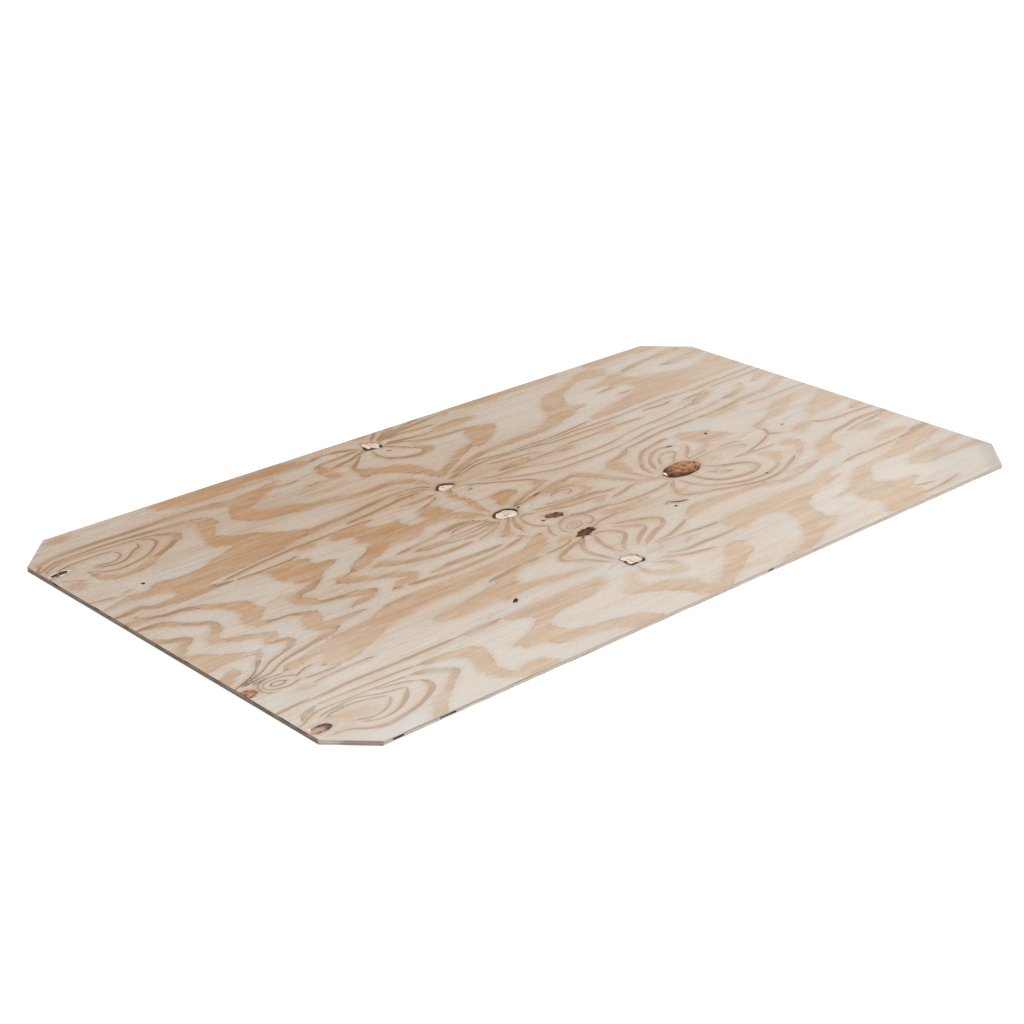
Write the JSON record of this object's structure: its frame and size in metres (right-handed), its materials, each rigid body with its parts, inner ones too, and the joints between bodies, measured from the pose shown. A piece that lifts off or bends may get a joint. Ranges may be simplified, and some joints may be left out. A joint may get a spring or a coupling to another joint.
{
  "type": "plywood sheet",
  "caption": "Thin three-ply softwood sheet, long rectangle with clipped corners, for lining, covering or shelving.",
  "frame": {"origin": "middle of the underside", "axes": "+X along the sheet's length and its face grain, +Y across the sheet, +Z out of the face veneer"},
  "size_m": [1.2, 0.68, 0.006],
  "materials": {
    "pine_veneer": "unfinished rotary-cut pine veneer, lightly sanded, matte"
  },
  "bodies": {
    "root": {"plywood_sheet": "pine_veneer"}
  },
  "joints": []
}
